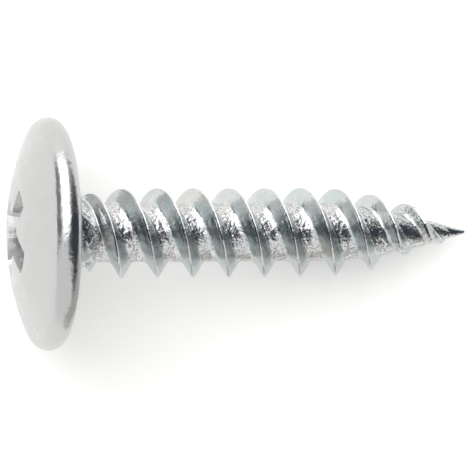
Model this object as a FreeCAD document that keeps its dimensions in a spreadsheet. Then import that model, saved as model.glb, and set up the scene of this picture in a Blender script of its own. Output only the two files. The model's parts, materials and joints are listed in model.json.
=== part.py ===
"""Drywall screw: wafer head, cross recess, twin-start thread and a rolled point.

The screw is modelled about its own axis, with the seat under the head at zero
and the point along +Z, and is then laid down as it comes to rest: on the rim
of its head and on one thread crest, with the axis over X and the point at +X.
Lengths are in millimetres and angles in degrees.
"""

import FreeCAD
import Part
import math
import os

import Sketcher
from FreeCAD import Placement, Rotation, Vector

SIZES = {
    # Head
    "head_dia": 10.7,
    "head_height": 2.32,
    "rim_front_radius": 0.74,
    "rim_back_radius": 0.60,
    # Shank
    "shank_length": 19.18,
    "neck_dia": 3.38,
    "neck_length": 1.35,
    "neck_fillet": 0.42,
    "neck_runout": 0.36,
    "root_dia": 2.62,
    # Point of the core, measured back from the tip
    "point_length": 6.4,
    "point_middle_length": 3.1,
    "point_middle_dia": 1.68,
    "point_end_length": 0.8,
    "point_end_dia": 0.59,
    "point_tip_dia": 0.12,
    # Thread
    "major_dia": 4.14,
    "thread_pitch": 1.693,
    "thread_flank_angle": 30.0,
    "crest_flat": 0.08,
    "thread_start": 0.655,
    "thread_start_angle": 130.0,
    "thread_start_lag": 0.25,
    "thread_start_sink": 0.04,
    "thread_rise": 2.9,
    "thread_taper": 7.4,
    "long_start_end": 0.80,
    "short_start_end": 2.45,
    "start_fade": 1.20,
    "ridge_embed": 0.12,
    # Cross recess
    "recess_depth": 2.30,
    "recess_bottom_dia": 2.29,
    "recess_side_angle": 26.5,
    "recess_tip_height": 0.61,
    "recess_wing": 0.70,
    "recess_wing_angle": 5.75,
    "recess_core": 1.42,
    "recess_turn": 40.0,
    "punch_clearance": 0.50,
}

THREAD_STARTS = 2
LONG_START = 0
CONTACT_STEPS = 800
STEPS_PER_HALF_TURN = 4
SAME_WAY = 1
AXIS_TO_X = Rotation(Vector(1, 1, 1), 120)

doc = FreeCAD.newDocument("drywall_screw")
sheet = doc.addObject("Spreadsheet::Sheet", "sizes")
for row, (name, number) in enumerate(SIZES.items(), start=1):
    sheet.set(f"A{row}", name)
    sheet.set(f"B{row}", str(number))
    sheet.setAlias(f"B{row}", name)
doc.recompute()


def size(name):
    """The value that the sheet holds under this name."""
    return float(getattr(sheet, name))


def new_object(kind, name, **expressions):
    """A document object whose sizes are bound to the sheet."""
    made = doc.addObject(kind, name)
    for prop, expression in expressions.items():
        made.setExpression(prop, expression)
    return made


def new_body(name):
    body = doc.addObject("PartDesign::Body", name)
    body.Label = name
    return body


def half_profile(body, name):
    """A sketch in the body's own XZ plane: radius across, axis upwards."""
    sketch = body.newObject("Sketcher::SketchObject", name)
    plane = next(f for f in body.Origin.OriginFeatures if f.Role == "XZ_Plane")
    sketch.AttachmentSupport = [(plane, "")]
    sketch.MapMode = "FlatFace"
    return sketch


def bind(sketch, name, expression, *constraint):
    """A dimension of the sketch that follows the sheet."""
    index = sketch.addConstraint(Sketcher.Constraint(*constraint))
    sketch.renameConstraint(index, name)
    sketch.setExpression(f"Constraints.{name}", expression)


def turn(body, name, sketch):
    """The profile turned once round the axis."""
    revolution = body.newObject("PartDesign::Revolution", name)
    revolution.Profile = sketch
    revolution.ReferenceAxis = (sketch, ["V_Axis"])
    revolution.Angle = 360
    doc.recompute()
    return revolution


def line(sketch, start, end):
    return sketch.addGeometry(Part.LineSegment(Vector(*start, 0), Vector(*end, 0)))


def arc(sketch, centre, radius, first, last):
    """A round stretch of the outline, anticlockwise between two angles."""
    circle = Part.Circle(Vector(*centre, 0), Vector(0, 0, 1), radius)
    return sketch.addGeometry(Part.ArcOfCircle(circle, first, last))


def head_profile(body):
    """Low dome, rim of two arcs that meet where it is widest, and a flat seat."""
    rim = size("head_dia") / 2
    height = size("head_height")
    front = size("rim_front_radius")
    back = size("rim_back_radius")
    crown = height - back
    dome = ((rim - front) ** 2 + crown**2 - front**2) / (2 * (crown - front))
    slope = math.asin((rim - front) / (dome - front))

    sketch = half_profile(body, "head_profile")
    seat = line(sketch, (0, 0), (rim - back, 0))
    back_arc = arc(sketch, (rim - back, -back), back, 0, math.pi / 2)
    front_arc = arc(sketch, (rim - front, -back), front, slope - math.pi / 2, 0)
    crown_arc = arc(sketch, (0, dome - height), dome, -math.pi / 2, slope - math.pi / 2)
    axis = line(sketch, (0, -height), (0, 0))

    sketch.addConstraint([
        Sketcher.Constraint("Coincident", seat, 1, -1, 1),
        Sketcher.Constraint("Horizontal", seat),
        Sketcher.Constraint("Tangent", seat, 2, back_arc, 2),
        Sketcher.Constraint("Tangent", back_arc, 1, front_arc, 2),
        Sketcher.Constraint("Horizontal", back_arc, 3, front_arc, 3),
        Sketcher.Constraint("Tangent", front_arc, 1, crown_arc, 2),
        Sketcher.Constraint("PointOnObject", crown_arc, 3, -2),
        Sketcher.Constraint("Coincident", crown_arc, 1, axis, 1),
        Sketcher.Constraint("Coincident", axis, 2, seat, 1),
        Sketcher.Constraint("Vertical", axis),
    ])
    bind(sketch, "rim", "sizes.head_dia / 2", "DistanceX", -1, 1, back_arc, 1, rim)
    bind(sketch, "height", "sizes.head_height", "Distance", axis, height)
    bind(sketch, "front", "sizes.rim_front_radius", "Radius", front_arc, front)
    bind(sketch, "back", "sizes.rim_back_radius", "Radius", back_arc, back)
    return sketch


def core_outline():
    """Corners of the shank's side, as (radius, station), from the neck to the tip."""
    length = size("shank_length")
    neck = size("neck_dia") / 2
    root = size("root_dia") / 2
    return {
        "neck_end": (neck, size("neck_length")),
        "root_start": (root, size("neck_length") + size("neck_runout")),
        "point_start": (root, length - size("point_length")),
        "point_middle": (size("point_middle_dia") / 2, length - size("point_middle_length")),
        "point_end": (size("point_end_dia") / 2, length - size("point_end_length")),
        "tip": (size("point_tip_dia") / 2, length),
    }


def shank_profile(body):
    """Neck, run-out to the thread root, core, and a point of three tapers."""
    neck = size("neck_dia") / 2
    length = size("shank_length")
    corners = core_outline()
    names = list(corners)

    sketch = half_profile(body, "shank_profile")
    seat = line(sketch, (0, 0), (neck, 0))
    side = {"neck_end": line(sketch, (neck, 0), corners["neck_end"])}
    for before, name in zip(names, names[1:]):
        side[name] = line(sketch, corners[before], corners[name])
    tip_flat = line(sketch, corners["tip"], (0, length))
    axis = line(sketch, (0, length), (0, 0))

    chain = [seat, *side.values(), tip_flat, axis]
    for before, after in zip(chain, chain[1:]):
        sketch.addConstraint(Sketcher.Constraint("Coincident", before, 2, after, 1))
    sketch.addConstraint([
        Sketcher.Constraint("Coincident", axis, 2, seat, 1),
        Sketcher.Constraint("Coincident", seat, 1, -1, 1),
        Sketcher.Constraint("Horizontal", seat),
        Sketcher.Constraint("Vertical", side["neck_end"]),
        Sketcher.Constraint("Vertical", side["point_start"]),
        Sketcher.Constraint("Horizontal", tip_flat),
        Sketcher.Constraint("Vertical", axis),
    ])
    bind(sketch, "neck", "sizes.neck_dia / 2", "Distance", seat, neck)
    bind(sketch, "neck_length", "sizes.neck_length", "Distance", side["neck_end"],
         size("neck_length"))
    bind(sketch, "runout", "sizes.neck_runout", "DistanceY", side["root_start"], 1,
         side["root_start"], 2, size("neck_runout"))
    bind(sketch, "length", "sizes.shank_length", "Distance", axis, length)
    for name, sized in (("point_start", "root"), ("point_middle", "point_middle"),
                        ("point_end", "point_end"), ("tip", "point_tip")):
        radius, _ = corners[name]
        bind(sketch, f"{name}_radius", f"sizes.{sized}_dia / 2", "DistanceX", -1, 1,
             side[name], 2, radius)
    for name, sized in (("point_start", "point"), ("point_middle", "point_middle"),
                        ("point_end", "point_end")):
        bind(sketch, f"{name}_back", f"sizes.{sized}_length", "DistanceY", side[name], 2,
             tip_flat, 1, size(f"{sized}_length"))
    return sketch


def core_radius(station):
    """Radius of the threaded core at this distance from the seat."""
    corners = list(core_outline().values())[2:]
    if station <= corners[0][1]:
        return corners[0][0]
    for (wide, start), (narrow, stop) in zip(corners, corners[1:]):
        if station <= stop:
            return wide + (narrow - wide) * (station - start) / (stop - start)
    return corners[-1][0]


def thread_begin(start):
    """Station where a start of the thread begins: the long one lags a little."""
    return size("thread_start") + (size("thread_start_lag") if start == LONG_START else 0)


def thread_angle(start, station):
    """Angle round the axis, in radians, that a start has reached at a station."""
    lead = THREAD_STARTS * size("thread_pitch")
    turns = (station - size("thread_start")) / lead + start / THREAD_STARTS
    return math.radians(size("thread_start_angle") + 360 * turns)


def crest_radius(start, station):
    """Radius that a start's crest reaches: a quick rise, then a bowed taper."""
    major = size("major_dia") / 2
    first = size("neck_dia") / 2 - size("thread_start_sink")
    risen = min(max((station - thread_begin(start)) / size("thread_rise"), 0), 1)
    rise = first + (major - first) * (1 - (1 - risen) ** 3)
    left = min((size("shank_length") - station) / size("thread_taper"), 1)
    taper = major * (1 - (1 - left) ** 2)
    return min(rise, taper)


def ridge_points(start, end_station):
    """The four edges of one ridge: its two sunk feet and its two crest lines."""
    begin = thread_begin(start)
    embed = size("ridge_embed")
    half_flat = size("crest_flat") / 2
    lean = math.tan(math.radians(size("thread_flank_angle")))
    half_turns = math.ceil(2 * (end_station - begin) / (THREAD_STARTS * size("thread_pitch")))
    count = half_turns * STEPS_PER_HALF_TURN
    edges = {"left_foot": [], "left_crest": [], "right_crest": [], "right_foot": []}
    for index in range(count + 1):
        station = begin + (end_station - begin) * index / count
        turned = thread_angle(start, station)
        core = core_radius(station)
        fade = min((end_station - station) / size("start_fade"), 1)
        sunk = core - embed / 2
        crest = sunk + (crest_radius(start, station) - sunk) * math.sin(fade * math.pi / 2)
        half_foot = half_flat + (crest - core + embed) * lean
        left = station - half_foot
        right = station + half_foot
        places = {
            "left_foot": (core_radius(left) - embed, left),
            "left_crest": (crest, station - half_flat),
            "right_crest": (crest, station + half_flat),
            "right_foot": (core_radius(right) - embed, right),
        }
        for edge, (radius, along) in places.items():
            point = Vector(radius * math.cos(turned), radius * math.sin(turned), along)
            edges[edge].append(point)
    return list(edges.values())


def ridge_solid(start, end_station):
    """One start of the thread, closed and sunk a little into the core.

    Each side is a ruled face for every half turn between two smooth edges.
    """
    edges = ridge_points(start, end_station)
    count = len(edges[0]) - 1
    curves = []
    for points in edges:
        curve = Part.BSplineCurve()
        curve.interpolate(Points=points, Parameters=list(range(count + 1)))
        curves.append(curve)
    faces = []
    for first in range(0, count, STEPS_PER_HALF_TURN):
        stretch = []
        for curve in curves:
            part = curve.copy()
            part.segment(first, first + STEPS_PER_HALF_TURN)
            stretch.append(part.toShape())
        for side in range(len(stretch)):
            faces.append(Part.makeRuledSurface(stretch[side - 1], stretch[side], SAME_WAY))
    for end in (0, count):
        corners = [points[end] for points in edges]
        faces.append(Part.Face(Part.makePolygon(corners + corners[:1])))
    shell = Part.makeShell(faces)
    shell.sewShape()
    solid = Part.makeSolid(shell)
    if solid.Volume < 0:
        solid.reverse()
    return solid


def thread_ridges():
    """Two ridges, half a turn apart: one runs on to the tip, one stops earlier."""
    ridges = []
    for start, stop in enumerate(("long_start_end", "short_start_end")):
        ridge = doc.addObject("Part::Feature", f"ridge_{start + 1}")
        ridge.Shape = ridge_solid(start, size("shank_length") - size(stop))
        ridges.append(ridge)
    return ridges


def blank():
    """The headed blank: head, neck, core and point, turned about the axis."""
    body = new_body("blank")
    turn(body, "head", head_profile(body))
    shank = turn(body, "shank", shank_profile(body))
    neck = size("neck_dia") / 2
    corner = next(
        f"Edge{number}"
        for number, edge in enumerate(shank.Shape.Edges, start=1)
        if isinstance(edge.Curve, Part.Circle)
        and abs(edge.Curve.Radius - neck) < 1e-6
        and abs(edge.Curve.Center.z) < 1e-6
    )
    fillet = body.newObject("PartDesign::Fillet", "seat_fillet")
    fillet.Base = (shank, [corner])
    fillet.setExpression("Radius", "sizes.neck_fillet")
    doc.recompute()
    return body


def recess_punch():
    """The cross punch: two crossing tapered wings and a core, within a cone."""
    sheet_depth = "(sizes.recess_depth + sizes.punch_clearance)"
    full_depth = "(sizes.recess_depth + sizes.recess_tip_height + sizes.punch_clearance)"
    mouth = f"(sizes.recess_bottom_dia / 2 + {sheet_depth} * tan(sizes.recess_side_angle))"
    widening = f"{full_depth} * tan(sizes.recess_wing_angle)"
    outside = -size("head_height") - size("punch_clearance")
    bottom = size("recess_depth") - size("head_height")
    deepest = bottom + size("recess_tip_height")

    side = new_object("Part::Cone", "recess_sides", Radius1=mouth,
                      Radius2="sizes.recess_bottom_dia / 2", Height=sheet_depth)
    side.Placement = Placement(Vector(0, 0, outside), Rotation())
    floor = new_object("Part::Cone", "recess_floor", Radius1="sizes.recess_bottom_dia / 2",
                       Height="sizes.recess_tip_height")
    floor.Radius2 = 0
    floor.Placement = Placement(Vector(0, 0, bottom), Rotation())
    cone = doc.addObject("Part::MultiFuse", "recess_cone")
    cone.Shapes = [side, floor]

    outward = Rotation(Vector(1, 0, 0), -90)
    parts = []
    for name, turned, width, reach in (
        ("recess_wing_one", 0, "sizes.recess_wing / 2", mouth),
        ("recess_wing_two", 90, "sizes.recess_wing / 2", mouth),
        ("recess_middle", 45, "sizes.recess_core / 2", "sizes.recess_core / 2"),
    ):
        far_reach = mouth if reach == mouth else f"({reach} + {widening})"
        wedge = new_object(
            "Part::Wedge", name,
            Xmin=f"-{width}", Xmax=width, X2min=f"-({width} + {widening})",
            X2max=f"{width} + {widening}", Zmin=f"-{reach}", Zmax=reach,
            Z2min=f"-{far_reach}", Z2max=far_reach, Ymax=full_depth,
        )
        wedge.Ymin = 0
        around = Rotation(Vector(0, 0, 1), turned + size("recess_turn"))
        wedge.Placement = Placement(Vector(0, 0, deepest), around * outward)
        parts.append(wedge)
    cross = doc.addObject("Part::MultiFuse", "recess_cross")
    cross.Shapes = parts

    punch = doc.addObject("Part::Common", "recess_punch")
    punch.Base = cross
    punch.Tool = cone
    return punch


def lowest_crest(tilt):
    """Lowest height of the crest edges when the axis dips by this angle."""
    half_flat = size("crest_flat") / 2
    span = size("shank_length") - size("thread_start")
    lowest = 0
    for start in range(THREAD_STARTS):
        for index in range(CONTACT_STEPS):
            station = size("thread_start") + span * index / CONTACT_STEPS
            up = crest_radius(start, station) * math.sin(thread_angle(start, station))
            level = up * math.cos(tilt) - (station + half_flat) * math.sin(tilt)
            lowest = min(lowest, level)
    return lowest


def resting_tilt():
    """Dip of the axis at which the rim and a crest touch the same level."""
    back = size("rim_back_radius")
    rim = size("head_dia") / 2 - back
    low = 0.0
    high = math.pi / 3
    for _ in range(40):
        tilt = (low + high) / 2
        rim_level = back * math.sin(tilt) - rim * math.cos(tilt) - back
        if lowest_crest(tilt) > rim_level:
            low = tilt
        else:
            high = tilt
    return math.degrees((low + high) / 2)


def laid_down(shape):
    """The placement that lays the screw on its rim and crest, centred in plan."""
    rotation = Rotation(Vector(0, 1, 0), resting_tilt()) * AXIS_TO_X
    turned = shape.copy()
    turned.Placement = Placement(Vector(), rotation)
    box = turned.optimalBoundingBox(False)
    return Placement(Vector(-box.Center.x, -box.Center.y, -box.ZMin), rotation)


def drywall_screw():
    """The whole screw: blank with its rolled ridges, less the recess."""
    threaded = doc.addObject("Part::MultiFuse", "threaded_blank")
    threaded.Shapes = [blank()] + thread_ridges()
    threaded.Refine = False
    screw = doc.addObject("Part::Cut", "drywall_screw")
    screw.Label = "drywall_screw"
    screw.Base = threaded
    screw.Tool = recess_punch()
    screw.Refine = False
    doc.recompute()
    screw.Placement = laid_down(screw.Shape)
    return screw


screw = drywall_screw()
doc.recompute()

for checked in doc.Objects:
    if "Invalid" in checked.State or "Error" in checked.State:
        raise RuntimeError(f"{checked.Name} failed: {checked.State}")
    if hasattr(checked, "Shape") and checked.isDerivedFrom("Part::Feature"):
        if checked.Shape.isNull() or not checked.Shape.isValid():
            raise RuntimeError(f"{checked.Name} has no valid shape")
if len(screw.Shape.Solids) != 1:
    raise RuntimeError(f"the screw has {len(screw.Shape.Solids)} solids")

box = screw.Shape.optimalBoundingBox(False)
print(f"volume {screw.Shape.Volume:.3f} mm3, faces {len(screw.Shape.Faces)}")
print(f"box {box.XMin:.3f} {box.YMin:.3f} {box.ZMin:.3f} to {box.XMax:.3f} {box.YMax:.3f} {box.ZMax:.3f}")
print(f"placement {screw.Placement.Base} tilt {resting_tilt():.3f}")

os.makedirs("parts", exist_ok=True)
screw.Shape.exportStep(f"parts/{screw.Label}.step")
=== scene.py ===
import json
import math
from types import SimpleNamespace

import bpy
from bpy.props import FloatProperty, FloatVectorProperty, PointerProperty
from mathutils import Matrix, Vector, noise


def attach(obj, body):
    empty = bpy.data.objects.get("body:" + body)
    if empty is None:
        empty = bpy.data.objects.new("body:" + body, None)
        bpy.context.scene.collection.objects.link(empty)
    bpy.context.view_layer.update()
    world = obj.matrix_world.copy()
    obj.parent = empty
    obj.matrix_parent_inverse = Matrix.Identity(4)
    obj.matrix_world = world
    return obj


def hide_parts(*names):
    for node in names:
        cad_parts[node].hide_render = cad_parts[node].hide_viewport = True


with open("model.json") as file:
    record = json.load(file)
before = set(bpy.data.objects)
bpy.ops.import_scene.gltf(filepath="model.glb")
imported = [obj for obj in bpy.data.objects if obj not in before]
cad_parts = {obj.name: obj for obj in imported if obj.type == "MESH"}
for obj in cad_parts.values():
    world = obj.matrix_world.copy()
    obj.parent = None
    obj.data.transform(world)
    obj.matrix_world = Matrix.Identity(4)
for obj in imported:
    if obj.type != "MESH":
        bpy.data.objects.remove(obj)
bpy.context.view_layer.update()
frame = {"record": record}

bl_info = {
    "name": "Drywall screw",
    "version": (1, 0, 0),
    "blender": (4, 5, 0),
    "location": "3D View > Sidebar > Screw",
    "description": "Models a zinc-plated drywall screw on its packed frame, with its stage",
    "category": "Mesh",
}

# The working mesh is in millimetres, with the screw's own axes: the seat under
# the head at zero and the tip along +Z. Its last step turns it into the frame.
MM = 0.001
NODE = "drywall_screw"
STEPS = 120
STARTS = 2
LONG_START = 1
POINT_BOW = 1.55
MERGE = 0.0005
SMOOTH_ANGLE = math.radians(38)

# How far above the fillet the head's mesh meets the thread's, and the rings of points
# on the seat.
NECK_JOINT = 0.08
SEAT_RINGS = (2.7, 3.4, 4.1)

# How steeply a ridge drops before its start, and how far a faded crest lies below
# the core.
START_SLOPE = 4
SUNK = 0.06

# The station where a start's crest ends, and the length over which it sinks there.
LONG_END = (18.18, 0.75)
SHORT_END = (16.80, 1.5)

# The crests widen and hollow towards the point, and so does the first one by the neck.
LONG_WIDENS = (15.7, 17.0)
SHORT_WIDENS = (15.0, 16.2)
SHORT_WIDTH = 0.75
FIRST_NARROWS = (2.4, 3.6)
FIRST_WIDTH = 0.25
WIDE_HALF = 0.14
GROOVE = 0.008
WIDE_GROOVE = 0.045

# What rolling leaves on the long start's crest: a sharp burr on a low swell.
BURR_PLACE, BURR_LENGTH, BURR_HEIGHT = 16.60, 0.06, 0.05
SWELL_RISES, SWELL_FALLS, SWELL_HEIGHT = (15.9, 16.4), (16.5, 17.2), 0.03

# The wear of the crests: its closeness and depth, on ridges above a least height.
BROAD_WEAR, BROAD_DEPTH = 2.3, 0.010
FINE_WEAR, FINE_DEPTH = 7.0, 0.006
LEAST_RIDGE, FULL_RIDGE = 0.02, 0.3

# A fillet beside a ridge is at most this share of the ridge's height, and at least this.
FILLET_SHARE, LEAST_FILLET = 0.8, 0.01

# The stretch over which the first ridge makes up for beginning late.
LATE_ENDS = (1.0, 2.8)

# Where the surface counts as the head, and as the recess: within this radius and
# this far below the dome.
HEAD_LEVEL = 0.01
RECESS_RADIUS, RECESS_BELOW = 2.6, 0.02

# How coarse the plating is, and the stretches over which that changes: across the
# head, across a ridge and along the shank.
RECESS_COARSE = 0.95
DOME_COARSE, RIM_ADDS, RIM_STRETCH = 0.07, 0.23, (4.2, 4.9)
FLANK_COARSE, ROOT_ADDS, ROOT_STRETCH = 0.22, 0.78, (0.36, 0.58)
CREST_COARSE, CREST_STRETCH = 0.5, (0.04, 0.12)
POINT_COARSE, POINT_STRETCH = 0.75, (14.0, 16.5)

# The stretch of the neck over which the zinc turns bright.
NECK_BRIGHTENS = (0.1, 0.6)

# An edge that turns by the first of these angles is sharp, and by the second fully
# worn, in degrees.
WORN_TURNS = (5, 40)

# The closeness of the tints, and that of the plating's broad waves, specks and
# mottling as shares of the fine grain's. The broad waves are this much higher.
TINT_SCALE = 950
BROAD_WAVES, SPECKS, MOTTLING = 0.36, 1.2, 0.09
BROAD_HEIGHT = 2.8

# The closeness of the rolling lines along the ridges, as a share of that across.
LINE_DRAW = 0.06

# The stage, in metres; the camera aims at this station of the screw.
AIM_STATION = 9
SENSOR = 36.0
FLOOR_SIDE = 1.1
SOFTBOX_ACROSS = -0.17
SOFTBOX_SIDES = (0.66, 0.92)
SOFTBOX_ANGLE = math.radians(50)
SOFTBOX_DISTANCE = 0.55

# The colour sockets of a Mix node come after those for numbers and vectors.
MIX_FIRST, MIX_SECOND, MIX_RESULT = 6, 7, 2


def length(name, description, default):
    """A length setting, given in millimetres and kept in metres."""
    return FloatProperty(name=name, description=description, default=default * MM,
                         unit="LENGTH", precision=5)


class HeadSettings(bpy.types.PropertyGroup):
    """The wafer head and the neck below it."""

    head_dia: length("Head diameter", "Across the rim", 10.7)
    head_height: length("Head height", "From the seat to the crown", 2.32)
    rim_front: length("Rim front radius", "Rounding from the dome to the rim", 0.70)
    rim_back: length("Rim back radius", "Rounding from the rim to the seat", 0.60)
    neck_dia: length("Neck diameter", "Smooth part below the head", 3.38)
    neck_fillet: length("Neck fillet", "Rounding between the seat and the neck", 0.42)
    neck_end: length("Neck length", "Where the neck begins to run down to the root", 0.30)
    neck_runout: length("Neck run-out", "How long the neck takes to run down", 1.25)


class RecessSettings(bpy.types.PropertyGroup):
    """The cross recess that takes the driver."""

    depth: length("Depth", "From the crown to the bottom diameter", 2.30)
    bottom_dia: length("Bottom diameter", "Across the wings at the depth", 2.29)
    tip_height: length("Tip height", "Of the cone below the bottom diameter", 0.61)
    wing: length("Wing thickness", "At the bottom of the recess", 0.70)
    core: length("Core width", "Of the square between the wings", 1.42)
    clearance: length("Clearance", "How far the punch stands out of the crown", 0.50)
    side_angle: FloatProperty(
        name="Side angle", description="Slope of the wings' ends from the axis",
        default=math.radians(26.5), subtype="ANGLE")
    wing_angle: FloatProperty(
        name="Wing angle", description="Slope of the wings' flanks",
        default=math.radians(5.75), subtype="ANGLE")
    turn: FloatProperty(
        name="Turn", description="Turn of the cross about the axis",
        default=math.radians(40), subtype="ANGLE")


class ThreadSettings(bpy.types.PropertyGroup):
    """The twin-start thread and the rolled point."""

    shank_length: length("Shank length", "From the seat to the tip", 19.18)
    root_dia: length("Root diameter", "Across the metal between the ridges", 2.62)
    major_dia: length("Major diameter", "Over the crests", 4.14)
    pitch: length("Crest spacing", "From a crest to the next", 1.693)
    crest_flat: length("Crest flat", "Width of the crest", 0.08)
    point_length: length("Point length", "Tapered part of the core", 6.4)
    tip_dia: length("Tip diameter", "Slight bluntness of the tip", 0.12)
    begin: length("Thread begin", "Where the first start begins", 0.655)
    lag: length("Second start lag", "How much later the other start begins", 0.25)
    late: length("Late begin", "How far the first ridge lies towards the tip", 0.2)
    rise: length("Rise", "How long a crest takes to rise to full height", 2.9)
    taper: length("Taper", "How long before the tip the crests begin to fall", 7.4)
    sink: length("Start sink", "How far below the neck a crest begins", 0.04)
    left_fillet: length("Fillet before a ridge", "Blend on the head's side", 0.34)
    right_fillet: length("Fillet after a ridge", "Blend on the tip's side", 0.16)
    begin_angle: FloatProperty(
        name="Begin angle", description="Where round the axis the first start begins",
        default=math.radians(310), subtype="ANGLE")
    flank: FloatProperty(
        name="Flank angle", description="Slope of a flank", default=math.radians(30),
        subtype="ANGLE")


class StageSettings(bpy.types.PropertyGroup):
    """The camera, the floor and the light round the screw."""

    camera_distance: FloatProperty(
        name="Camera distance", description="From the middle of the screw to the camera",
        default=0.281, unit="LENGTH")
    camera_across: FloatProperty(
        name="Camera across", description="Where the camera stands along X",
        default=-0.000074, unit="LENGTH")
    camera_along: FloatProperty(
        name="Camera along", description="Where the camera stands along Y",
        default=-0.000088, unit="LENGTH")
    camera_roll: FloatProperty(
        name="Camera roll", description="Turn of the picture about its middle",
        default=math.radians(-0.25), subtype="ANGLE")
    frame_width: FloatProperty(
        name="Frame width", description="What the picture takes in at the camera distance",
        default=0.0216850, unit="LENGTH")
    floor_colour: FloatVectorProperty(
        name="Floor colour", description="The pale table", default=(0.93, 0.93, 0.91),
        subtype="COLOR")
    floor_lift: FloatProperty(
        name="Floor lift", description="Added to the floor where it is seen, towards white",
        default=0.25)
    world_light: FloatProperty(
        name="World light", description="Strength of the light from all round", default=0.62)
    softbox_power: FloatProperty(
        name="Softbox power", description="Of the wide soft lamp", default=3.1, unit="POWER")


class FinishSettings(bpy.types.PropertyGroup):
    """The zinc plating."""

    plate_colour: FloatVectorProperty(
        name="Plate colour", description="Bright zinc", default=(0.53, 0.53, 0.53),
        subtype="COLOR")
    # Also the recess's colour: there this brighter zinc is painted light that lifts the recess
    # out of its own shade.
    thread_colour_and_recess_light: FloatVectorProperty(
        name="Thread colour", description="Zinc on the rolled roots and the neck",
        default=(0.68, 0.68, 0.68), subtype="COLOR")
    cool_colour: FloatVectorProperty(
        name="Cool tint", description="Where the clear coat looks blue-green",
        default=(0.545, 0.60, 0.61), subtype="COLOR")
    warm_colour: FloatVectorProperty(
        name="Warm tint", description="Where the clear coat looks yellow to pink",
        default=(0.68, 0.65, 0.60), subtype="COLOR")
    dirt_colour: FloatVectorProperty(
        name="Dirt", description="Specks of rolling dirt in the roots",
        default=(0.13, 0.125, 0.14), subtype="COLOR")
    rubbed_colour: FloatVectorProperty(
        name="Rubbed edges", description="Where handling has polished crests and edges",
        default=(0.70, 0.70, 0.69), subtype="COLOR")
    crystal_size: length("Crystal size", "Of the plating's fine grain", 0.10)
    crystal_height: length("Crystal height", "Of the grain where it is coarsest", 0.022)
    line_spacing: length("Rolling line spacing", "Across the lines along the ridges", 0.06)
    line_height: length("Rolling line height", "Of the lines along the ridges", 0.0050)


def millimetres(settings):
    """The settings of a group, with its lengths in the working mesh's millimetres."""
    values = {}
    for prop in settings.bl_rna.properties:
        if prop.type == "FLOAT":
            value = getattr(settings, prop.identifier)
            values[prop.identifier] = value / MM if prop.unit == "LENGTH" else value
    return SimpleNamespace(**values)


def mount(name):
    """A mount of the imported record: its place and its outward direction."""
    found = next(m for m in frame["record"]["mounts"] if m["name"] == name)
    return Vector(found["pos_m"]), Vector(found["axis"]).normalized()


def screw_matrix():
    """Turns the screw's own axes into the frame's: its +X lies level, across."""
    place, along = mount("bearing_face")
    level = Vector((0, 1, 0))
    upward = along.cross(level)
    turned = Matrix((level, upward, along)).transposed().to_4x4()
    thread_place, _ = mount("thread")
    seat = thread_place - along * (thread_place - place).dot(along)
    return Matrix.Translation(seat) @ turned


def between(value, low, high):
    """Smooth share of the way from one value to another, from 0 to 1."""
    share = min(max((value - low) / (high - low), 0), 1)
    return share * share * (3 - 2 * share)


def clear_selection():
    """Back to object mode, with nothing selected."""
    if bpy.context.mode != "OBJECT":
        bpy.ops.object.mode_set(mode="OBJECT")
    bpy.ops.object.select_all(action="DESELECT")


def start_point(context, name, place):
    """A mesh of one selected point, left in edit mode to be extruded."""
    clear_selection()
    bpy.ops.mesh.primitive_plane_add(size=1)
    started = context.object
    started.name = name
    bpy.ops.object.mode_set(mode="EDIT")
    bpy.ops.mesh.select_mode(type="VERT")
    bpy.ops.mesh.select_all(action="SELECT")
    bpy.ops.mesh.merge(type="CENTER")
    bpy.ops.transform.translate(value=place)
    return started


def extrude_along(points):
    """Extrudes the selected point from each place to the next."""
    for before, after in zip(points, points[1:]):
        step = Vector(after) - Vector(before)
        bpy.ops.mesh.extrude_vertices_move(TRANSFORM_OT_translate={"value": step})


def apply_modifier(context, piece, kind, **values):
    """Adds a modifier with these values and applies it."""
    clear_selection()
    context.view_layer.objects.active = piece
    piece.select_set(True)
    bpy.ops.object.modifier_add(type=kind)
    modifier = piece.modifiers[-1]
    for name, value in values.items():
        setattr(modifier, name, value)
    bpy.ops.object.modifier_apply(modifier=modifier.name)


def core_radius(head, thread, station):
    """Radius between the ridges: neck, root, and a point that bows in to the tip."""
    root = thread.root_dia / 2
    left = thread.shank_length - station
    if left <= 0:
        return 0
    if left < thread.point_length:
        tip = thread.tip_dia / 2
        bow = 1 - (1 - left / thread.point_length) ** POINT_BOW
        return (root - tip) * bow + tip * min(left / tip, 1) ** 0.5
    neck = 1 - between(station, head.neck_end, head.neck_end + head.neck_runout)
    return root + (head.neck_dia / 2 - root) * neck


def crest_of(head, thread, start, station):
    """Radius, half width and groove depth of a start's crest at a station."""
    is_long = start == LONG_START
    begin = thread.begin + (thread.lag if is_long else 0)
    end, fade_length = LONG_END if is_long else SHORT_END
    major = thread.major_dia / 2
    first = head.neck_dia / 2 - thread.sink
    risen = min(max((station - begin) / thread.rise, 0), 1)
    rise = first + (major - first) * (1 - (1 - risen) ** 3)
    left = min(max((thread.shank_length - station) / thread.taper, 0), 1)
    taper = major * (1 - (1 - left) ** 2)
    radius = min(rise, taper)
    if station < begin:
        radius -= START_SLOPE * (begin - station)
    sunk = core_radius(head, thread, station) - SUNK
    fade = min(max((end - station) / fade_length, 0), 1)
    radius = sunk + (radius - sunk) * math.sin(fade * math.pi / 2)
    if is_long:
        wide = between(station, *LONG_WIDENS)
        radius += BURR_HEIGHT * math.exp(-((station - BURR_PLACE) / BURR_LENGTH) ** 2)
        fallen = between(station, *SWELL_FALLS)
        radius += SWELL_HEIGHT * between(station, *SWELL_RISES) * (1 - fallen)
    else:
        wide = SHORT_WIDTH * between(station, *SHORT_WIDENS)
        wide = max(wide, FIRST_WIDTH * (1 - between(station, *FIRST_NARROWS)))
    flat = thread.crest_flat / 2
    half = flat + (WIDE_HALF - flat) * wide
    groove = GROOVE + WIDE_GROOVE * wide
    return radius, half, groove


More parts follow.
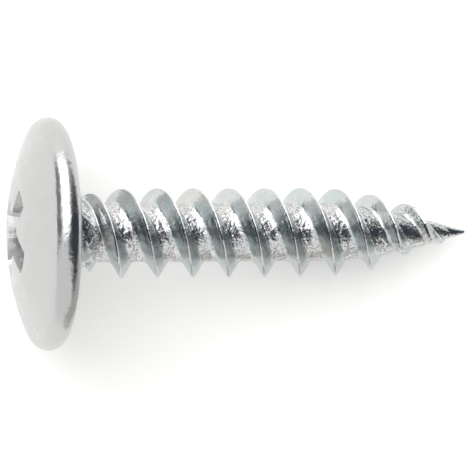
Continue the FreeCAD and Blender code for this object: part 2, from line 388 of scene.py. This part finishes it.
def crest_station(thread, angle):
    """Station of the first start's crest at this angle round the axis."""
    lead = STARTS * thread.pitch
    return thread.begin + lead * ((angle - thread.begin_angle) / (2 * math.pi) % 1)


# How far from a crest the outline has its rows, out to the middle of a root.
ROWS = (0.0, 0.022, 0.04, 0.058, 0.10, 0.17, 0.25, 0.33, 0.40, 0.455, 0.50, 0.56, 0.64, 0.73)


def thread_rows(thread):
    """Heights of the outline's rows over one lead, close together at the crests."""
    half = thread.pitch / 2
    one = [-half] + [-row for row in reversed(ROWS[1:])] + list(ROWS) + [half]
    first = crest_station(thread, 0) - STARTS * thread.pitch
    rows = [first + row for row in one]
    return rows + [row + thread.pitch for row in rows[1:]]


def ridged_place(head, thread, place):
    """Where a point of the plain screwed tube goes on the real thread."""
    angle = math.atan2(place.y, place.x)
    nearest = (place.z - crest_station(thread, angle)) / thread.pitch
    count = round(nearest)
    centre = crest_station(thread, angle) + count * thread.pitch
    offset = place.z - centre
    radius, half, groove = crest_of(head, thread, count % STARTS, centre)

    flat = thread.crest_flat / 2
    reach = thread.pitch / 2
    if abs(offset) <= flat:
        moved = offset * half / flat
    else:
        moved = half + (abs(offset) - flat) * (reach - half) / (reach - flat)
        moved = math.copysign(moved, offset)
    station = centre + moved
    core = core_radius(head, thread, station)

    height = radius - core
    if height > LEAST_RIDGE:
        broad = BROAD_DEPTH * noise.noise(place * BROAD_WEAR)
        fine = FINE_DEPTH * noise.noise(place * FINE_WEAR)
        radius += (broad + fine) * min(height / FULL_RIDGE, 1)
    slope = max(abs(moved) - half, 0) / math.tan(thread.flank)
    ridge = radius - slope
    if abs(moved) < half:
        ridge -= groove * (1 - (moved / half) ** 2)
    fillet = thread.left_fillet if moved < 0 else thread.right_fillet
    fillet = max(min(fillet, FILLET_SHARE * (radius - core)), LEAST_FILLET)
    blend = max(fillet - abs(core - ridge), 0) / fillet
    far = max(core, ridge) + blend * blend * fillet / 4
    return station, far, angle


def shape_thread(head, thread, tube):
    """Moves the screwed tube's points onto the ridges, the neck and the point."""
    low = head.neck_fillet + NECK_JOINT
    high = thread.shank_length
    for vertex in tube.data.vertices:
        station, far, angle = ridged_place(head, thread, vertex.co)
        station += thread.late * (1 - between(station, *LATE_ENDS))
        if station <= low:
            station, far = low, head.neck_dia / 2
        elif station >= high:
            station, far, angle = high, 0, 0
        vertex.co = (far * math.cos(angle), far * math.sin(angle), station)


def threaded_shank(context, head, thread):
    """Outline of one lead, screwed round the axis and shaped into the ridges."""
    rows = thread_rows(thread)
    root = thread.root_dia / 2
    points = [(root, 0, row) for row in rows]
    shank = start_point(context, "zinc_screw", points[0])
    extrude_along(points)
    turns = math.ceil((thread.shank_length - rows[0]) / (STARTS * thread.pitch))
    apply_modifier(context, shank, "SCREW", axis="Z", angle=2 * math.pi,
                   screw_offset=STARTS * thread.pitch, iterations=turns, steps=STEPS,
                   render_steps=STEPS, use_merge_vertices=False)
    shape_thread(head, thread, shank)
    return shank


def arc_points(centre, radius, first, last, count):
    """Points of an arc in the plane of the axis, as (across, 0, along)."""
    points = []
    for index in range(count + 1):
        angle = first + (last - first) * index / count
        points.append((centre[0] + radius * math.cos(angle), 0,
                       centre[1] + radius * math.sin(angle)))
    return points


def dome_radius(head):
    """Radius of the dome that runs over the crown into the rim's rounding."""
    front = head.rim_front
    flat = head.head_dia / 2 - front
    crown = head.head_height - head.rim_back
    return (flat**2 + crown**2 - front**2) / (2 * (crown - front))


def head_outline(head):
    """From the neck over the seat, the rim and the dome to the axis."""
    rim = head.head_dia / 2
    neck = head.neck_dia / 2
    fillet = head.neck_fillet
    front = head.rim_front
    back = head.rim_back
    dome = dome_radius(head)
    slope = math.asin((rim - front) / (dome - front))
    right = math.pi / 2
    points = [(neck, 0, fillet + NECK_JOINT)]
    points += arc_points((neck + fillet, fillet), fillet, math.pi, math.pi + right, 8)
    points += [(across, 0, 0) for across in SEAT_RINGS]
    points += arc_points((rim - back, -back), back, right, 0, 10)
    points += arc_points((rim - front, -back), front, 0, slope - right, 12)[1:]
    points += arc_points((0, dome - head.head_height), dome, slope - right, -right, 26)[1:]
    return points


def turned_head(context, head):
    """The head's outline, spun once round the axis."""
    points = head_outline(head)
    turned = start_point(context, "head", points[0])
    extrude_along(points)
    bpy.ops.mesh.select_all(action="SELECT")
    bpy.ops.mesh.spin(steps=STEPS, dupli=False, angle=2 * math.pi, use_auto_merge=True,
                      center=(0, 0, 0), axis=(0, 0, 1))
    bpy.ops.object.mode_set(mode="OBJECT")
    return turned


def widened_block(context, name, half_x, half_y, widening, floor, top):
    """A block that widens towards the crown on all four sides."""
    clear_selection()
    bpy.ops.mesh.primitive_cube_add(size=1, location=(0, 0, (floor + top) / 2))
    block = context.object
    block.name = name
    block.scale = (2 * half_x, 2 * half_y, floor - top)
    bpy.ops.object.transform_apply(location=True, rotation=True, scale=True)
    bpy.ops.object.mode_set(mode="EDIT")
    bpy.ops.mesh.select_all(action="DESELECT")
    bpy.ops.object.mode_set(mode="OBJECT")
    for vertex in block.data.vertices:
        vertex.select = vertex.co.z < (floor + top) / 2
    bpy.ops.object.mode_set(mode="EDIT")
    share_x = (half_x + widening[0]) / half_x
    share_y = (half_y + widening[1]) / half_y
    bpy.ops.transform.resize(value=(share_x, share_y, 1))
    bpy.ops.object.mode_set(mode="OBJECT")
    return block


def cross_punch(context, head, recess):
    """Two crossing wings and a core, cut to a cone with a pointed floor."""
    bottom = recess.depth - head.head_height
    deepest = bottom + recess.tip_height
    top = -head.head_height - recess.clearance
    mouth = recess.bottom_dia / 2 + (bottom - top) * math.tan(recess.side_angle)
    spread = (deepest - top) * math.tan(recess.wing_angle)
    wing = recess.wing / 2
    core = recess.core / 2

    punch = widened_block(context, "punch", mouth, wing, (0, spread), deepest, top)
    other = widened_block(context, "wing", wing, mouth, (spread, 0), deepest, top)
    middle = widened_block(context, "core", core, core, (spread, spread), deepest, top)
    clear_selection()
    middle.select_set(True)
    context.view_layer.objects.active = middle
    bpy.ops.transform.rotate(value=math.pi / 4, orient_axis="Z", center_override=(0, 0, 0))
    bpy.ops.object.transform_apply(location=True, rotation=True, scale=True)

    clear_selection()
    bpy.ops.mesh.primitive_cone_add(
        vertices=96, radius1=mouth, radius2=recess.bottom_dia / 2, depth=bottom - top,
        location=(0, 0, (bottom + top) / 2))
    cone = context.object
    bpy.ops.object.mode_set(mode="EDIT")
    bpy.ops.mesh.select_all(action="DESELECT")
    bpy.ops.object.mode_set(mode="OBJECT")
    for face in cone.data.polygons:
        face.select = len(face.vertices) > 4 and face.center.z > 0
    bpy.ops.object.mode_set(mode="EDIT")
    bpy.ops.mesh.extrude_region_move(
        TRANSFORM_OT_translate={"value": (0, 0, recess.tip_height)})
    bpy.ops.mesh.merge(type="CENTER")
    bpy.ops.object.mode_set(mode="OBJECT")
    bpy.ops.object.transform_apply(location=True, rotation=True, scale=True)

    for tool, operation in ((other, "UNION"), (middle, "UNION"), (cone, "INTERSECT")):
        apply_modifier(context, punch, "BOOLEAN", object=tool, operation=operation,
                       solver="EXACT")
        bpy.data.objects.remove(tool)
    clear_selection()
    punch.select_set(True)
    context.view_layer.objects.active = punch
    punch.rotation_euler.z = recess.turn
    bpy.ops.object.transform_apply(location=True, rotation=True, scale=True)
    return punch


def join_and_mend(context, piece, other):
    """Joins two meshes, merges their doubles and turns the normals outwards."""
    clear_selection()
    other.select_set(True)
    piece.select_set(True)
    context.view_layer.objects.active = piece
    bpy.ops.object.join()
    bpy.ops.object.mode_set(mode="EDIT")
    bpy.ops.mesh.select_all(action="SELECT")
    bpy.ops.mesh.remove_doubles(threshold=MERGE)
    bpy.ops.mesh.dissolve_degenerate(threshold=MERGE / 10)
    bpy.ops.mesh.normals_make_consistent(inside=False)
    bpy.ops.object.mode_set(mode="OBJECT")


def lay_thread_map(piece, thread):
    """A map whose U runs along the ridges and whose V runs across them, in millimetres."""
    layer = piece.data.uv_layers.new(name="along_thread")
    vertices = piece.data.vertices
    lead = STARTS * thread.pitch
    around = math.pi * thread.root_dia
    for face in piece.data.polygons:
        centre = face.center
        middle = math.atan2(centre.y, centre.x)
        base = crest_station(thread, middle)
        count = round((centre.z - base) / thread.pitch)
        for corner in face.loop_indices:
            place = vertices[piece.data.loops[corner].vertex_index].co
            turned = math.atan2(place.y, place.x) - middle
            turned = (turned + math.pi) % (2 * math.pi) - math.pi
            crest = base + count * thread.pitch + lead * turned / (2 * math.pi)
            layer.data[corner].uv = (crest / lead * around, place.z - crest)


def worn_edges(mesh):
    """For each point, a share that rises to one at a sharp outward edge."""
    worn = [0.0] * len(mesh.vertices)
    beside = {}
    for face in mesh.polygons:
        for key in face.edge_keys:
            beside.setdefault(key, []).append(face)
    for key, faces in beside.items():
        if len(faces) != 2:
            continue
        first, second = faces
        if (second.center - first.center).dot(first.normal) < 0:
            turn = math.degrees(first.normal.angle(second.normal, 0))
            for corner in key:
                worn[corner] = max(worn[corner], between(turn, *WORN_TURNS))
    return worn


def in_recess(head, place):
    """Whether a point lies on the walls or the floor of the recess."""
    dome = dome_radius(head)
    below = dome - (place - Vector((0, 0, dome - head.head_height))).length
    near = math.hypot(place.x, place.y) < RECESS_RADIUS
    return place.z < HEAD_LEVEL and near and below > RECESS_BELOW


def shank_zinc_and_painted_recess_light(head, place):
    """Where the zinc takes the brighter thread colour: on the shank, and in the recess as
    painted light against the recess's shade.
    """
    # The recess gets the full brighter colour as painted light.
    return 1.0 if in_recess(head, place) else between(place.z, *NECK_BRIGHTENS)


def coarseness(head, thread, place):
    """How coarse the plating is: smooth dome, rougher rim, coarse roots and point."""
    if in_recess(head, place):
        return RECESS_COARSE
    if place.z < HEAD_LEVEL:
        across = math.hypot(place.x, place.y)
        return DOME_COARSE + RIM_ADDS * between(across, *RIM_STRETCH)
    crest = crest_station(thread, math.atan2(place.y, place.x))
    offset = (place.z - crest) / thread.pitch
    offset = abs(offset - round(offset)) * thread.pitch
    if place.z < thread.begin:
        offset = thread.pitch / 2
    share = FLANK_COARSE + ROOT_ADDS * between(offset, *ROOT_STRETCH)
    share = max(share, CREST_COARSE * (1 - between(offset, *CREST_STRETCH)))
    return max(share, POINT_COARSE * between(place.z, *POINT_STRETCH))


def mark_surface(piece, head, thread):
    """Attributes for the plating: worn edges, coarseness, and where the zinc is bright, which
    in the recess is painted light.
    """
    mesh = piece.data
    marks = {
        "worn_edge": worn_edges(mesh),
        "coarse": [coarseness(head, thread, vertex.co) for vertex in mesh.vertices],
        # Brighter zinc on the shank; in the recess this mark is painted light.
        "rolled": [shank_zinc_and_painted_recess_light(head, vertex.co) for vertex in mesh.vertices],
    }
    for name, values in marks.items():
        layer = mesh.attributes.new(name, "FLOAT", "POINT")
        layer.data.foreach_set("value", values)


class SCREW_OT_model_screw(bpy.types.Operator):
    """Model the screw: threaded shank, head and cross recess in one piece"""

    bl_idname = "screw.model_screw"
    bl_label = "Model the screw"

    def execute(self, context):
        head = millimetres(context.scene.screw_head)
        recess = millimetres(context.scene.screw_recess)
        thread = millimetres(context.scene.screw_thread)
        screw = threaded_shank(context, head, thread)
        join_and_mend(context, screw, turned_head(context, head))
        punch = cross_punch(context, head, recess)
        apply_modifier(context, screw, "BOOLEAN", object=punch, operation="DIFFERENCE",
                       solver="EXACT")
        bpy.data.objects.remove(punch)
        lay_thread_map(screw, thread)
        mark_surface(screw, head, thread)
        clear_selection()
        screw.select_set(True)
        context.view_layer.objects.active = screw
        bpy.ops.object.shade_smooth_by_angle(angle=SMOOTH_ANGLE)
        screw.data.transform(screw_matrix() @ Matrix.Scale(MM, 4))
        plate = zinc_plate(context.scene.screw_finish)
        screw.data.materials.clear()
        screw.data.materials.append(plate)
        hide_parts(NODE)
        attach(screw, "root")
        return {"FINISHED"}


def new_group(name, inputs, outputs):
    """A node group with its inputs and outputs, as (name, kind) pairs."""
    group = bpy.data.node_groups.new(name, "ShaderNodeTree")
    for label, kind in inputs:
        group.interface.new_socket(label, in_out="INPUT", socket_type=kind)
    for label, kind in outputs:
        group.interface.new_socket(label, in_out="OUTPUT", socket_type=kind)
    return group, group.nodes.new("NodeGroupInput"), group.nodes.new("NodeGroupOutput")


def add_noise(tree, vector, scale, detail, rough=0.55):
    """A noise texture on a vector, and its output."""
    texture = tree.nodes.new("ShaderNodeTexNoise")
    texture.inputs["Scale"].default_value = scale
    texture.inputs["Detail"].default_value = detail
    texture.inputs["Roughness"].default_value = rough
    tree.links.new(vector, texture.inputs["Vector"])
    return texture.outputs["Fac"]


def add_range(tree, value, low, high, to_low=0.0, to_high=1.0):
    """A value's way from low to high, as a smooth step between two others."""
    span = tree.nodes.new("ShaderNodeMapRange")
    span.interpolation_type = "SMOOTHSTEP"
    for name, number in (("From Min", low), ("From Max", high),
                         ("To Min", to_low), ("To Max", to_high)):
        span.inputs[name].default_value = number
    tree.links.new(value, span.inputs["Value"])
    return span.outputs["Result"]


def add_math(tree, operation, first, second=None):
    """A sum on one or two values; a plain number goes on its own socket."""
    node = tree.nodes.new("ShaderNodeMath")
    node.operation = operation
    for socket, value in zip(node.inputs, (first, second)):
        if isinstance(value, (int, float)):
            socket.default_value = value
        elif value is not None:
            tree.links.new(value, socket)
    return node.outputs[0]


def add_mix(tree, share, first, second):
    """A colour between two: each is a socket or a plain colour."""
    node = tree.nodes.new("ShaderNodeMix")
    node.data_type = "RGBA"
    tree.links.new(share, node.inputs["Factor"])
    for place, value in ((MIX_FIRST, first), (MIX_SECOND, second)):
        socket = node.inputs[place]
        if isinstance(value, bpy.types.NodeSocket):
            tree.links.new(value, socket)
        else:
            socket.default_value = (*value, 1)
    return node.outputs[MIX_RESULT]


def rolling_lines(settings):
    """Group: fine lines along the ridges, from the map laid on the thread."""
    group, start, end = new_group(
        "rolling_lines", [("Map", "NodeSocketVector")],
        [("Height", "NodeSocketFloat"), ("Crest", "NodeSocketFloat"),
         ("Root", "NodeSocketFloat"), ("Tip side", "NodeSocketFloat")])
    spacing = settings.line_spacing / MM
    stretch = group.nodes.new("ShaderNodeMapping")
    stretch.inputs["Scale"].default_value = (LINE_DRAW / spacing, 1 / spacing, 1)
    group.links.new(start.outputs["Map"], stretch.inputs["Vector"])
    lines = add_noise(group, stretch.outputs["Vector"], 1.0, 2.0)
    group.links.new(lines, end.inputs["Height"])
    parts = group.nodes.new("ShaderNodeSeparateXYZ")
    group.links.new(start.outputs["Map"], parts.inputs["Vector"])
    across = add_math(group, "ABSOLUTE", parts.outputs["Y"])
    crest = add_range(group, across, 0.04, 0.12, to_low=1.0, to_high=0.0)
    group.links.new(crest, end.inputs["Crest"])
    group.links.new(add_range(group, across, 0.40, 0.65), end.inputs["Root"])
    group.links.new(add_range(group, parts.outputs["Y"], 0.02, 0.20), end.inputs["Tip side"])
    return group


def plating_grain(settings):
    """Group: the plating's fine grain, its pits and its soft mottling."""
    group, start, end = new_group(
        "plating_grain", [("Place", "NodeSocketVector")],
        [("Height", "NodeSocketFloat"), ("Pits", "NodeSocketFloat"),
         ("Mottle", "NodeSocketFloat")])
    scale = 1 / settings.crystal_size
    fine = add_noise(group, start.outputs["Place"], scale, 2.0, 0.6)
    broad = add_noise(group, start.outputs["Place"], scale * BROAD_WAVES, 1.0)
    height = add_math(group, "ADD", fine, add_math(group, "MULTIPLY", broad, BROAD_HEIGHT))
    group.links.new(height, end.inputs["Height"])
    specks = add_noise(group, start.outputs["Place"], scale * SPECKS, 1.0)
    group.links.new(add_range(group, specks, 0.47, 0.72), end.inputs["Pits"])
    mottle = add_noise(group, start.outputs["Place"], scale * MOTTLING, 3.0, 0.65)
    group.links.new(add_range(group, mottle, 0.34, 0.66), end.inputs["Mottle"])
    return group


def add_group(tree, group, vector):
    """A group's node, fed with one vector."""
    node = tree.nodes.new("ShaderNodeGroup")
    node.node_tree = group
    tree.links.new(vector, node.inputs[0])
    return node.outputs


def add_attribute(tree, name):
    """One of the mesh's own marks, as a value."""
    node = tree.nodes.new("ShaderNodeAttribute")
    node.attribute_name = name
    return node.outputs["Fac"]


def zinc_plate(settings):
    """Bright zinc over rolled steel: grain, rolling lines, tints, dirt and worn crests, with
    painted light in the recess.
    """
    material = bpy.data.materials.new("zinc_plate")
    material.use_nodes = True
    tree = material.node_tree
    shader = tree.nodes["Principled BSDF"]
    shader.inputs["Metallic"].default_value = 1.0
    place = tree.nodes.new("ShaderNodeTexCoord").outputs["Object"]
    thread_map = tree.nodes.new("ShaderNodeUVMap")
    thread_map.uv_map = "along_thread"
    lines = add_group(tree, rolling_lines(settings), thread_map.outputs["UV"])
    grain = add_group(tree, plating_grain(settings), place)
    worn = add_attribute(tree, "worn_edge")
    coarse = add_attribute(tree, "coarse")
    rolled = add_attribute(tree, "rolled")

    tint = add_noise(tree, place, TINT_SCALE, 4.0)
    flank = add_math(tree, "MULTIPLY", add_math(tree, "SUBTRACT", 1.0, lines["Root"]), rolled)
    cool = add_range(tree, tint, 0.38, 0.52, to_low=0.9, to_high=0.4)
    cool = add_math(tree, "MAXIMUM", cool,
                    add_math(tree, "MULTIPLY", lines["Tip side"], 0.8))
    cool = add_math(tree, "MULTIPLY", cool, flank)
    warm = add_math(tree, "MULTIPLY", add_range(tree, tint, 0.55, 0.66, to_high=0.6), rolled)
    # The brighter thread colour; in the recess it is painted light against the recess's own
    # shade.
    colour = add_mix(tree, rolled, settings.plate_colour, settings.thread_colour_and_recess_light)
    colour = add_mix(tree, cool, colour, settings.cool_colour)
    colour = add_mix(tree, warm, colour, settings.warm_colour)
    dirty = add_math(tree, "MULTIPLY", grain["Pits"],
                     add_range(tree, coarse, 0.1, 1.0, to_high=0.8))
    dirty = add_math(tree, "MULTIPLY", dirty, add_range(tree, rolled, 0.0, 1.0, to_low=0.3))
    colour = add_mix(tree, dirty, colour, settings.dirt_colour)
    rubbed = add_math(tree, "MULTIPLY", lines["Crest"], rolled)
    rubbed = add_math(tree, "MAXIMUM", rubbed, worn)
    rubbed = add_math(tree, "MULTIPLY", rubbed,
                      add_range(tree, grain["Mottle"], 0.0, 1.0, to_high=0.7))
    colour = add_mix(tree, rubbed, colour, settings.rubbed_colour)
    tree.links.new(colour, shader.inputs["Base Color"])

    rough = add_range(tree, grain["Mottle"], 0.0, 1.0, to_low=-0.03, to_high=0.05)
    rough = add_math(tree, "ADD", rough,
                     add_range(tree, coarse, 0.1, 0.7, to_low=0.26, to_high=0.11))
    rough = add_math(tree, "ADD", rough, add_math(tree, "MULTIPLY", dirty, 0.35))
    rough = add_math(tree, "SUBTRACT", rough, add_math(tree, "MULTIPLY", rubbed, 0.05))
    tree.links.new(rough, shader.inputs["Roughness"])

    normal = None
    bumps = (
        (add_math(tree, "MULTIPLY", grain["Height"], coarse), settings.crystal_height),
        (add_math(tree, "MULTIPLY", lines["Height"], rolled), settings.line_height),
    )
    for height, depth in bumps:
        bump = tree.nodes.new("ShaderNodeBump")
        bump.inputs["Strength"].default_value = 1.0
        bump.inputs["Distance"].default_value = depth
        tree.links.new(height, bump.inputs["Height"])
        if normal is not None:
            tree.links.new(normal, bump.inputs["Normal"])
        normal = bump.outputs["Normal"]
    tree.links.new(normal, shader.inputs["Normal"])
    return material


class SCREW_OT_set_stage(bpy.types.Operator):
    """Lay the floor, hang the lights and aim the camera straight down"""

    bl_idname = "screw.set_stage"
    bl_label = "Set the stage"

    def execute(self, context):
        settings = context.scene.screw_stage
        clear_selection()
        bpy.ops.mesh.primitive_plane_add(size=FLOOR_SIDE, location=(0, 0, 0))
        floor = context.object
        floor.name = "floor"
        paint_floor(floor, settings)
        aim_camera(context, settings)
        light_world(context, settings)
        hang_softbox(context, settings)
        hang_cards(context)
        context.scene.view_settings.view_transform = "Standard"
        return {"FINISHED"}


def aim_camera(context, settings):
    """A long lens above the screw, as level as the photograph's."""
    middle = screw_matrix() @ Vector((0, 0, AIM_STATION * MM))
    above = middle.z + settings.camera_distance
    place = (settings.camera_across, settings.camera_along, above)
    bpy.ops.object.camera_add(location=place, rotation=(0, 0, settings.camera_roll))
    camera = context.object
    camera.name = "camera"
    camera.data.sensor_width = SENSOR
    camera.data.lens = SENSOR * settings.camera_distance / settings.frame_width
    camera.data.clip_start = 0.01
    camera.data.clip_end = 10.0
    context.scene.camera = camera


def seen_directly(material_nodes, links):
    """A value of one for rays from the camera, in mirrors and through glass."""
    rays = material_nodes.new("ShaderNodeLightPath")
    total = rays.outputs["Is Camera Ray"]
    for kind in ("Is Glossy Ray", "Is Transmission Ray"):
        added = material_nodes.new("ShaderNodeMath")
        added.operation = "ADD"
        added.use_clamp = True
        links.new(total, added.inputs[0])
        links.new(rays.outputs[kind], added.inputs[1])
        total = added.outputs[0]
    return total


def paint_floor(floor, settings):
    """Pale matt floor, lifted to white where it is seen, that keeps the screw's shadow."""
    material = bpy.data.materials.new("pale_floor")
    material.use_nodes = True
    nodes = material.node_tree.nodes
    links = material.node_tree.links
    shader = nodes["Principled BSDF"]
    shader.inputs["Base Color"].default_value = (*settings.floor_colour, 1)
    shader.inputs["Roughness"].default_value = 1.0
    shader.inputs["Specular IOR Level"].default_value = 0.0
    shader.inputs["Emission Color"].default_value = (1, 1, 1, 1)
    lift = nodes.new("ShaderNodeMath")
    lift.operation = "MULTIPLY"
    lift.inputs[1].default_value = settings.floor_lift
    links.new(seen_directly(nodes, links), lift.inputs[0])
    links.new(lift.outputs[0], shader.inputs["Emission Strength"])
    floor.data.materials.append(material)


def light_world(context, settings):
    """White where it is seen, softer as light."""
    world = bpy.data.worlds.new("studio")
    context.scene.world = world
    world.use_nodes = True
    nodes = world.node_tree.nodes
    links = world.node_tree.links
    background = nodes["Background"]
    background.inputs["Color"].default_value = (1, 1, 1, 1)
    strength = nodes.new("ShaderNodeMapRange")
    strength.inputs["To Min"].default_value = settings.world_light
    strength.inputs["To Max"].default_value = 1.0
    links.new(seen_directly(nodes, links), strength.inputs["Value"])
    links.new(strength.outputs["Result"], background.inputs["Strength"])


def hang_softbox(context, settings):
    """One wide soft lamp above and behind the screw."""
    behind = SOFTBOX_DISTANCE * math.cos(SOFTBOX_ANGLE)
    above = SOFTBOX_DISTANCE * math.sin(SOFTBOX_ANGLE)
    bpy.ops.object.light_add(
        type="AREA", location=(SOFTBOX_ACROSS, behind, above),
        rotation=(math.radians(-90) + SOFTBOX_ANGLE, 0, 0))
    lamp = context.object
    lamp.name = "softbox"
    lamp.data.shape = "RECTANGLE"
    lamp.data.size, lamp.data.size_y = SOFTBOX_SIDES
    lamp.data.energy = settings.softbox_power


# Each card's middle, turn about X, Y and Z in degrees, two sides and colour.
CARDS = {
    "right_card": ((0.35, 0.11, 0.34), (0, 90, 0), (0.68, 0.66), (0.052, 0.066, 0.085)),
    "right_near_card": ((0.35, -0.30, 0.34), (0, 90, 0), (0.68, 0.16), (0.20, 0.215, 0.21)),
    "right_upper_card": ((0.34, 0.11, 0.75), (0, 90, 0), (0.20, 0.64), (0.11, 0.13, 0.15)),
    "right_floor_card": ((0.20, 0.00, 0.0005), (0, 0, 0), (0.30, 0.13), (0.05, 0.05, 0.055)),
    "right_far_card": ((0.35, 0.57, 0.36), (0, 90, 0), (0.72, 0.32), (0.55, 0.57, 0.57)),
    "front_floor_card": ((0.106, -0.16, 0.0005), (0, 0, 0), (0.216, 0.31), (0.60, 0.585, 0.56)),
    "left_card": ((-0.42, 0.20, 0.17), (0, 90, 0), (0.34, 0.50), (0.21, 0.215, 0.225)),
    "lens_card": ((0.122, -0.065, 0.45), (0, 0, 0), (0.215, 0.243), (0.045, 0.047, 0.075)),
    "bar_card": ((-0.05, -0.055, 0.62), (0, 0, 0), (0.55, 0.07), (0.17, 0.19, 0.20)),
}


def hang_cards(context):
    """Cards round the stage, which the metal mirrors and the camera doesn't see."""
    for name, (middle, turn, sides, colour) in CARDS.items():
        clear_selection()
        bpy.ops.mesh.primitive_plane_add(size=1)
        card = context.object
        card.name = name
        card.scale = (*sides, 1)
        card.rotation_euler = [math.radians(angle) for angle in turn]
        card.location = middle
        bpy.ops.object.transform_apply(location=True, rotation=True, scale=True)
        material = bpy.data.materials.new(name)
        material.use_nodes = True
        shader = material.node_tree.nodes["Principled BSDF"]
        shader.inputs["Base Color"].default_value = (*colour, 1)
        shader.inputs["Roughness"].default_value = 1.0
        shader.inputs["Specular IOR Level"].default_value = 0.0
        card.data.materials.append(material)
        card.visible_camera = False
        card.visible_diffuse = False
        card.visible_shadow = False
        card.visible_transmission = False


groups = {
    "screw_head": HeadSettings,
    "screw_recess": RecessSettings,
    "screw_thread": ThreadSettings,
    "screw_finish": FinishSettings,
    "screw_stage": StageSettings,
}


class SCREW_PT_panel(bpy.types.Panel):
    """The screw's tools and settings"""

    bl_idname = "SCREW_PT_panel"
    bl_label = "Drywall screw"
    bl_space_type = "VIEW_3D"
    bl_region_type = "UI"
    bl_category = "Screw"

    def draw(self, context):
        for name, group in groups.items():
            box = self.layout.box()
            box.label(text=group.bl_rna.name)
            settings = getattr(context.scene, name)
            for key in group.__annotations__:
                box.prop(settings, key)
        self.layout.operator(SCREW_OT_model_screw.bl_idname)
        self.layout.operator(SCREW_OT_set_stage.bl_idname)


classes = (*groups.values(), SCREW_OT_model_screw, SCREW_OT_set_stage, SCREW_PT_panel)


def register():
    for one in classes:
        bpy.utils.register_class(one)
    for name, group in groups.items():
        setattr(bpy.types.Scene, name, PointerProperty(type=group))


def unregister():
    for name in groups:
        delattr(bpy.types.Scene, name)
    for one in reversed(classes):
        bpy.utils.unregister_class(one)


def main():
    register()
    bpy.ops.screw.model_screw()
    bpy.ops.screw.set_stage()


if __name__ == "__main__":
    main()
